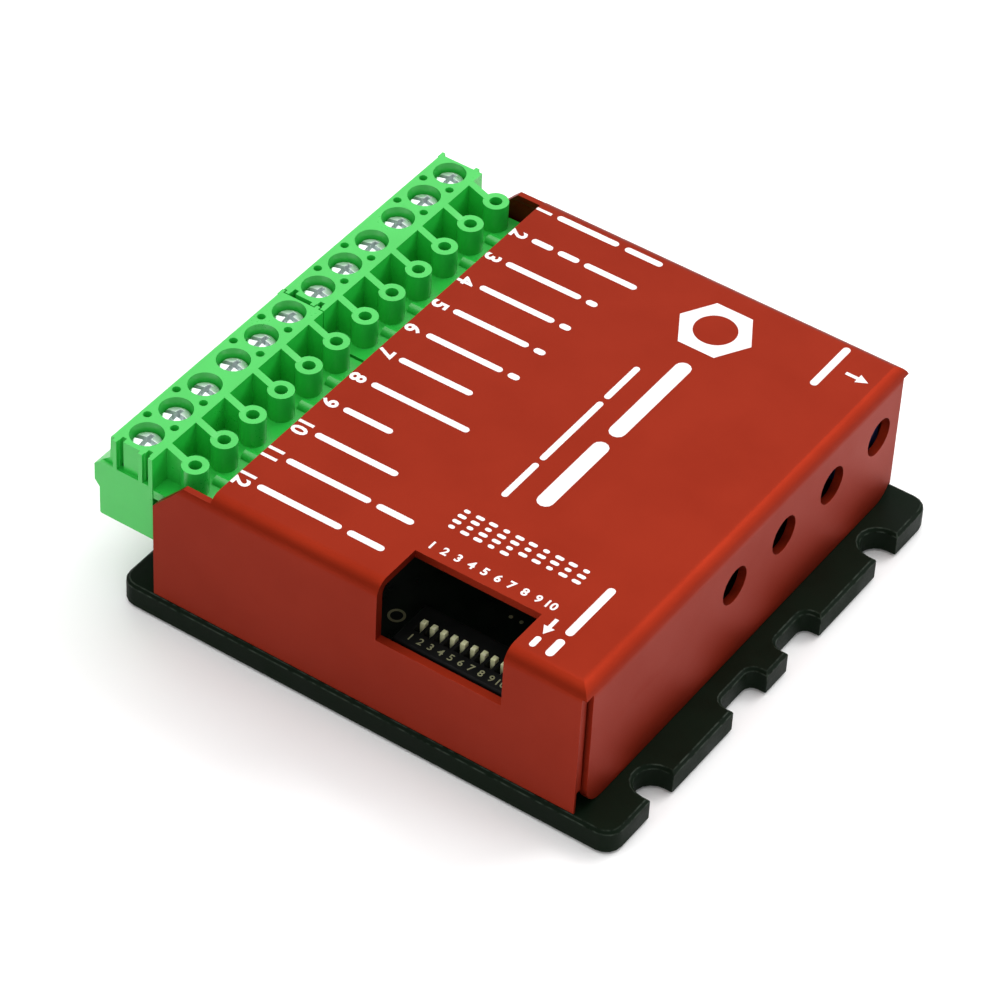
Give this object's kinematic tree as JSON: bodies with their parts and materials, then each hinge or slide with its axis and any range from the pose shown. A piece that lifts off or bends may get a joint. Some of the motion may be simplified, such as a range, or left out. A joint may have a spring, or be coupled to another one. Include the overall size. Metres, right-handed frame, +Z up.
{
  "type": "stepper driver module",
  "caption": "Flat motor driver module: flanged base plate, folded cover with a switch window and end holes, and two lift-off screw terminal plugs along one edge.",
  "frame": {"origin": "centre of the base plate's underside", "axes": "+Z up, away from the mounting surface; +X towards the end wall with the round holes, away from the terminals; +Y towards terminal 1"},
  "size_m": [0.0678, 0.0636, 0.021],
  "materials": {
    "black_anodised": "black anodised, satin",
    "red_anodised": "red anodised, satin",
    "green_plastic": "moulded, semi-gloss",
    "solder_mask": "black solder mask",
    "plated_steel": "bright zinc plate",
    "plated_brass": "nickel plate",
    "black_steel": "black oxide",
    "black_plastic": "moulded, matte",
    "cream_plastic": "moulded",
    "blue_plastic": "moulded",
    "white_plastic": "moulded",
    "can_aluminium": "drawn can",
    "ferrite": "sintered, matte",
    "grey_rubber": "filled silicone"
  },
  "bodies": {
    "frame": {"base_plate": "black_anodised", "cover": "red_anodised", "circuit_board": "solder_mask", "thermal_pad": "grey_rubber", "assembly_screw_1": "black_steel", "assembly_screw_2": "black_steel", "assembly_screw_3": "black_steel", "assembly_screw_4": "black_steel", "terminal_header_far": "green_plastic", "terminal_header_near": "green_plastic", "option_switch_body": "black_plastic", "trimmer_body": "blue_plastic", "bulk_capacitor": "can_aluminium", "controller_chip": "black_plastic", "filter_inductor": "ferrite", "power_transistor_1": "black_plastic", "power_transistor_2": "black_plastic", "power_transistor_3": "black_plastic", "power_transistor_4": "black_plastic", "power_transistor_5": "black_plastic", "power_transistor_6": "black_plastic", "power_transistor_7": "black_plastic", "power_transistor_8": "black_plastic"},
    "terminal_plug_far": {"terminal_plug_far": "green_plastic"},
    "terminal_plug_near": {"terminal_plug_near": "green_plastic"},
    "clamp_screw_01": {"clamp_screw_01": "plated_steel"},
    "wire_clamp_01": {"wire_clamp_01": "plated_brass"},
    "clamp_screw_02": {"clamp_screw_02": "plated_steel"},
    "wire_clamp_02": {"wire_clamp_02": "plated_brass"},
    "clamp_screw_03": {"clamp_screw_03": "plated_steel"},
    "wire_clamp_03": {"wire_clamp_03": "plated_brass"},
    "clamp_screw_04": {"clamp_screw_04": "plated_steel"},
    "wire_clamp_04": {"wire_clamp_04": "plated_brass"},
    "clamp_screw_05": {"clamp_screw_05": "plated_steel"},
    "wire_clamp_05": {"wire_clamp_05": "plated_brass"},
    "clamp_screw_06": {"clamp_screw_06": "plated_steel"},
    "wire_clamp_06": {"wire_clamp_06": "plated_brass"},
    "clamp_screw_07": {"clamp_screw_07": "plated_steel"},
    "wire_clamp_07": {"wire_clamp_07": "plated_brass"},
    "clamp_screw_08": {"clamp_screw_08": "plated_steel"},
    "wire_clamp_08": {"wire_clamp_08": "plated_brass"},
    "clamp_screw_09": {"clamp_screw_09": "plated_steel"},
    "wire_clamp_09": {"wire_clamp_09": "plated_brass"},
    "clamp_screw_10": {"clamp_screw_10": "plated_steel"},
    "wire_clamp_10": {"wire_clamp_10": "plated_brass"},
    "clamp_screw_11": {"clamp_screw_11": "plated_steel"},
    "wire_clamp_11": {"wire_clamp_11": "plated_brass"},
    "clamp_screw_12": {"clamp_screw_12": "plated_steel"},
    "wire_clamp_12": {"wire_clamp_12": "plated_brass"},
    "option_lever_01": {"option_lever_01": "cream_plastic"},
    "option_lever_02": {"option_lever_02": "cream_plastic"},
    "option_lever_03": {"option_lever_03": "cream_plastic"},
    "option_lever_04": {"option_lever_04": "cream_plastic"},
    "option_lever_05": {"option_lever_05": "cream_plastic"},
    "option_lever_06": {"option_lever_06": "cream_plastic"},
    "option_lever_07": {"option_lever_07": "cream_plastic"},
    "option_lever_08": {"option_lever_08": "cream_plastic"},
    "option_lever_09": {"option_lever_09": "cream_plastic"},
    "option_lever_10": {"option_lever_10": "cream_plastic"},
    "trimmer_rotor": {"trimmer_rotor": "white_plastic"}
  },
  "joints": [
    {"name": "plug_far_lift", "type": "slide", "parent": "frame", "child": "terminal_plug_far", "axis": [0, 0, 1], "range_m": [0, 0.012]},
    {"name": "plug_near_lift", "type": "slide", "parent": "terminal_plug_far", "child": "terminal_plug_near", "axis": [0, 0, 1], "range_m": [0, 0.012]},
    {"name": "clamp_screw_01_turn", "type": "hinge", "parent": "terminal_plug_far", "child": "clamp_screw_01", "pos_m": [-0.03115, 0.02805, 0.018], "axis": [0, 0, 1], "range_deg": [-1081, 0]},
    {"name": "wire_clamp_01_rise", "type": "slide", "parent": "terminal_plug_far", "child": "wire_clamp_01", "axis": [0, 0, 1], "range_m": [0, 0.0015]},
    {"name": "clamp_screw_02_turn", "type": "hinge", "parent": "terminal_plug_far", "child": "clamp_screw_02", "pos_m": [-0.03115, 0.02305, 0.018], "axis": [0, 0, 1], "range_deg": [-1081, 0]},
    {"name": "wire_clamp_02_rise", "type": "slide", "parent": "terminal_plug_far", "child": "wire_clamp_02", "axis": [0, 0, 1], "range_m": [0, 0.0015]},
    {"name": "clamp_screw_03_turn", "type": "hinge", "parent": "terminal_plug_far", "child": "clamp_screw_03", "pos_m": [-0.03115, 0.01805, 0.018], "axis": [0, 0, 1], "range_deg": [-1081, 0]},
    {"name": "wire_clamp_03_rise", "type": "slide", "parent": "terminal_plug_far", "child": "wire_clamp_03", "axis": [0, 0, 1], "range_m": [0, 0.0015]},
    {"name": "clamp_screw_04_turn", "type": "hinge", "parent": "terminal_plug_far", "child": "clamp_screw_04", "pos_m": [-0.03115, 0.01305, 0.018], "axis": [0, 0, 1], "range_deg": [-1081, 0]},
    {"name": "wire_clamp_04_rise", "type": "slide", "parent": "terminal_plug_far", "child": "wire_clamp_04", "axis": [0, 0, 1], "range_m": [0, 0.0015]},
    {"name": "clamp_screw_05_turn", "type": "hinge", "parent": "terminal_plug_far", "child": "clamp_screw_05", "pos_m": [-0.03115, 0.00805, 0.018], "axis": [0, 0, 1], "range_deg": [-1081, 0]},
    {"name": "wire_clamp_05_rise", "type": "slide", "parent": "terminal_plug_far", "child": "wire_clamp_05", "axis": [0, 0, 1], "range_m": [0, 0.0015]},
    {"name": "clamp_screw_06_turn", "type": "hinge", "parent": "terminal_plug_far", "child": "clamp_screw_06", "pos_m": [-0.03115, 0.00305, 0.018], "axis": [0, 0, 1], "range_deg": [-1081, 0]},
    {"name": "wire_clamp_06_rise", "type": "slide", "parent": "terminal_plug_far", "child": "wire_clamp_06", "axis": [0, 0, 1], "range_m": [0, 0.0015]},
    {"name": "clamp_screw_07_turn", "type": "hinge", "parent": "terminal_plug_near", "child": "clamp_screw_07", "pos_m": [-0.03115, -0.00225, 0.018], "axis": [0, 0, 1], "range_deg": [-1081, 0]},
    {"name": "wire_clamp_07_rise", "type": "slide", "parent": "terminal_plug_near", "child": "wire_clamp_07", "axis": [0, 0, 1], "range_m": [0, 0.0015]},
    {"name": "clamp_screw_08_turn", "type": "hinge", "parent": "terminal_plug_near", "child": "clamp_screw_08", "pos_m": [-0.03115, -0.00725, 0.018], "axis": [0, 0, 1], "range_deg": [-1081, 0]},
    {"name": "wire_clamp_08_rise", "type": "slide", "parent": "terminal_plug_near", "child": "wire_clamp_08", "axis": [0, 0, 1], "range_m": [0, 0.0015]},
    {"name": "clamp_screw_09_turn", "type": "hinge", "parent": "terminal_plug_near", "child": "clamp_screw_09", "pos_m": [-0.03115, -0.01225, 0.018], "axis": [0, 0, 1], "range_deg": [-1081, 0]},
    {"name": "wire_clamp_09_rise", "type": "slide", "parent": "terminal_plug_near", "child": "wire_clamp_09", "axis": [0, 0, 1], "range_m": [0, 0.0015]},
    {"name": "clamp_screw_10_turn", "type": "hinge", "parent": "terminal_plug_near", "child": "clamp_screw_10", "pos_m": [-0.03115, -0.01725, 0.018], "axis": [0, 0, 1], "range_deg": [-1081, 0]},
    {"name": "wire_clamp_10_rise", "type": "slide", "parent": "terminal_plug_near", "child": "wire_clamp_10", "axis": [0, 0, 1], "range_m": [0, 0.0015]},
    {"name": "clamp_screw_11_turn", "type": "hinge", "parent": "terminal_plug_near", "child": "clamp_screw_11", "pos_m": [-0.03115, -0.02225, 0.018], "axis": [0, 0, 1], "range_deg": [-1081, 0]},
    {"name": "wire_clamp_11_rise", "type": "slide", "parent": "terminal_plug_near", "child": "wire_clamp_11", "axis": [0, 0, 1], "range_m": [0, 0.0015]},
    {"name": "clamp_screw_12_turn", "type": "hinge", "parent": "terminal_plug_near", "child": "clamp_screw_12", "pos_m": [-0.03115, -0.02725, 0.018], "axis": [0, 0, 1], "range_deg": [-1081, 0]},
    {"name": "wire_clamp_12_rise", "type": "slide", "parent": "terminal_plug_near", "child": "wire_clamp_12", "axis": [0, 0, 1], "range_m": [0, 0.0015]},
    {"name": "option_lever_01_slide", "type": "slide", "parent": "frame", "child": "option_lever_01", "axis": [0, -1, 0], "range_m": [0, 0.0009]},
    {"name": "option_lever_02_slide", "type": "slide", "parent": "frame", "child": "option_lever_02", "axis": [0, -1, 0], "range_m": [0, 0.0009]},
    {"name": "option_lever_03_slide", "type": "slide", "parent": "frame", "child": "option_lever_03", "axis": [0, -1, 0], "range_m": [0, 0.0009]},
    {"name": "option_lever_04_slide", "type": "slide", "parent": "frame", "child": "option_lever_04", "axis": [0, -1, 0], "range_m": [0, 0.0009]},
    {"name": "option_lever_05_slide", "type": "slide", "parent": "frame", "child": "option_lever_05", "axis": [0, -1, 0], "range_m": [0, 0.0009]},
    {"name": "option_lever_06_slide", "type": "slide", "parent": "frame", "child": "option_lever_06", "axis": [0, -1, 0], "range_m": [0, 0.0009]},
    {"name": "option_lever_07_slide", "type": "slide", "parent": "frame", "child": "option_lever_07", "axis": [0, -1, 0], "range_m": [0, 0.0009]},
    {"name": "option_lever_08_slide", "type": "slide", "parent": "frame", "child": "option_lever_08", "axis": [0, -1, 0], "range_m": [0, 0.0009]},
    {"name": "option_lever_09_slide", "type": "slide", "parent": "frame", "child": "option_lever_09", "axis": [0, -1, 0], "range_m": [0, 0.0009]},
    {"name": "option_lever_10_slide", "type": "slide", "parent": "frame", "child": "option_lever_10", "axis": [0, -1, 0], "range_m": [0, 0.0009]},
    {"name": "trimmer_turn", "type": "hinge", "parent": "frame", "child": "trimmer_rotor", "pos_m": [0.0248, 0.0259, 0.0144], "axis": [1, 0, 0], "range_deg": [-135, 135]}
  ],
  "couplings": [
    {"joint": "clamp_screw_01_turn", "follows": "wire_clamp_01_rise", "rad_per_m": -12566},
    {"joint": "clamp_screw_02_turn", "follows": "wire_clamp_02_rise", "rad_per_m": -12566},
    {"joint": "clamp_screw_03_turn", "follows": "wire_clamp_03_rise", "rad_per_m": -12566},
    {"joint": "clamp_screw_04_turn", "follows": "wire_clamp_04_rise", "rad_per_m": -12566},
    {"joint": "clamp_screw_05_turn", "follows": "wire_clamp_05_rise", "rad_per_m": -12566},
    {"joint": "clamp_screw_06_turn", "follows": "wire_clamp_06_rise", "rad_per_m": -12566},
    {"joint": "clamp_screw_07_turn", "follows": "wire_clamp_07_rise", "rad_per_m": -12566},
    {"joint": "clamp_screw_08_turn", "follows": "wire_clamp_08_rise", "rad_per_m": -12566},
    {"joint": "clamp_screw_09_turn", "follows": "wire_clamp_09_rise", "rad_per_m": -12566},
    {"joint": "clamp_screw_10_turn", "follows": "wire_clamp_10_rise", "rad_per_m": -12566},
    {"joint": "clamp_screw_11_turn", "follows": "wire_clamp_11_rise", "rad_per_m": -12566},
    {"joint": "clamp_screw_12_turn", "follows": "wire_clamp_12_rise", "rad_per_m": -12566}
  ]
}
